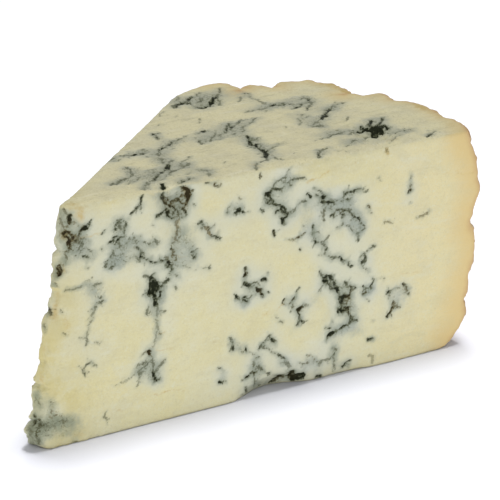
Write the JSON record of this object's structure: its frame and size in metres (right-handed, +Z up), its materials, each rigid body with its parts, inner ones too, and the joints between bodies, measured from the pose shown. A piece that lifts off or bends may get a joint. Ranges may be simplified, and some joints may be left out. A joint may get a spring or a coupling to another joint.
{
  "type": "wedge of blue-veined cheese",
  "caption": "Wedge cut from a drum of blue-veined cheese: smooth cuts that meet in a crumbled tip, a flat marbled top and a rough, creased rind round the back.",
  "frame": {"origin": "middle of the wedge's outline on the surface it stands on", "axes": "+Z up, -Y out of the upright near cut, -X towards the tip, +X towards the rind"},
  "size_m": [0.1112, 0.0662, 0.0522],
  "materials": {
    "blue_veined_cheese": "cut face of a creamy ivory-yellow cheese, marbled with dark blue-green veins; tan towards a rough brown-orange rind"
  },
  "bodies": {
    "root": {"cheese_wedge": "blue_veined_cheese"}
  },
  "joints": []
}
